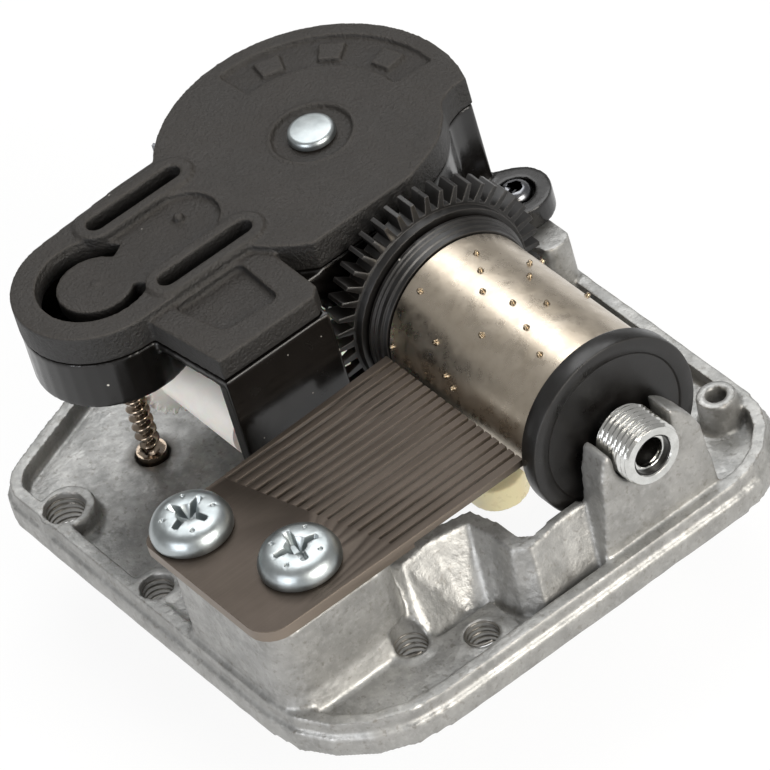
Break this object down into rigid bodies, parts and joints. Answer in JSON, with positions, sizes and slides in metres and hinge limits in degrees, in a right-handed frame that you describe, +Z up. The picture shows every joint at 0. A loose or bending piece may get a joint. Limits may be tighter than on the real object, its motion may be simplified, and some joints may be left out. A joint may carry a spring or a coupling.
{
  "type": "musical movement",
  "caption": "Spring-wound musical movement: die-cast bedplate, steel comb, pinned cylinder, black spring housing, geared air-brake governor and winding key.",
  "frame": {"origin": "centre of the bedplate footprint, on its flat underside", "axes": "+X along the pinned cylinder from its gear to the threaded bush, +Y from the comb base to the spring barrel, +Z up out of the bedplate"},
  "size_m": [0.0547, 0.0448, 0.03],
  "materials": {
    "zinc": "dull die-cast zinc alloy, as cast",
    "comb_steel": "brown-grey ground comb steel",
    "zinc_plate": "bright bluish zinc plate",
    "textured_black": "fine-grained warm black",
    "smooth_black": "smooth satin black, oily",
    "spring_steel": "dark spring steel",
    "bright_steel": "bright turned steel",
    "brass": "plain brass",
    "nickel": "warm nickel plate",
    "nylon": "white nylon",
    "cream": "pale yellow",
    "lead": "dull lead"
  },
  "bodies": {
    "movement_frame": {"bedplate": "zinc", "steel_comb": "comb_steel", "lead_weight_1": "lead", "lead_weight_2": "lead", "lead_weight_3": "lead", "lead_weight_4": "lead", "lead_weight_5": "lead", "lead_weight_6": "lead", "comb_screw_1": "zinc_plate", "comb_screw_2": "zinc_plate", "housing_cover": "textured_black", "spring_housing": "smooth_black", "housing_screw": "spring_steel", "threaded_bush": "bright_steel", "gear_end_bearing": "brass", "mainspring": "spring_steel", "worm_pivot_cup": "brass"},
    "cylinder": {"cylinder_sleeve": "nickel", "cylinder_gear": "smooth_black", "cylinder_collar": "smooth_black", "cylinder_flange": "smooth_black", "cylinder_arbor": "bright_steel"},
    "first_train": {"first_wheel": "nylon", "first_axle": "bright_steel"},
    "drum_train": {"drum_wheel": "nylon", "drum_axle": "bright_steel"},
    "governor": {"governor_worm": "bright_steel", "fly_hub": "brass", "fly_vane_1": "nylon", "fly_vane_2": "nylon"},
    "crown": {"great_wheel": "nylon", "clutch_spring": "spring_steel"},
    "winding": {"winding_arbor": "nickel", "winding_key": "cream"}
  },
  "joints": [
    {"name": "cylinder_spin", "type": "hinge", "parent": "movement_frame", "child": "cylinder", "pos_m": [0, 0.00915, 0.01052], "axis": [1, 0, 0], "continuous": true},
    {"name": "first_train_spin", "type": "hinge", "parent": "movement_frame", "child": "first_train", "pos_m": [-0.0033, -0.00191, 0.01052], "axis": [1, 0, 0], "continuous": true},
    {"name": "drum_spin", "type": "hinge", "parent": "movement_frame", "child": "drum_train", "pos_m": [-0.0132, -0.00685, 0.00748], "axis": [1, 0, 0], "continuous": true},
    {"name": "governor_spin", "type": "hinge", "parent": "movement_frame", "child": "governor", "pos_m": [-0.0132, -0.01135, 0], "axis": [0, 0, 1], "continuous": true},
    {"name": "great_wheel_spin", "type": "hinge", "parent": "movement_frame", "child": "crown", "pos_m": [-0.01295, 0.00915, 0], "axis": [0, 0, 1], "continuous": true},
    {"name": "winding", "type": "hinge", "parent": "movement_frame", "child": "winding", "pos_m": [-0.01295, 0.00915, 0], "axis": [0, 0, 1], "range_deg": [0, 1170]}
  ],
  "couplings": [
    {"joint": "first_train_spin", "follows": "cylinder_spin", "ratio": -3.6667},
    {"joint": "drum_spin", "follows": "cylinder_spin", "ratio": 12.222},
    {"joint": "governor_spin", "follows": "cylinder_spin", "ratio": 293.33},
    {"joint": "great_wheel_spin", "follows": "cylinder_spin", "ratio": 0.75862}
  ]
}
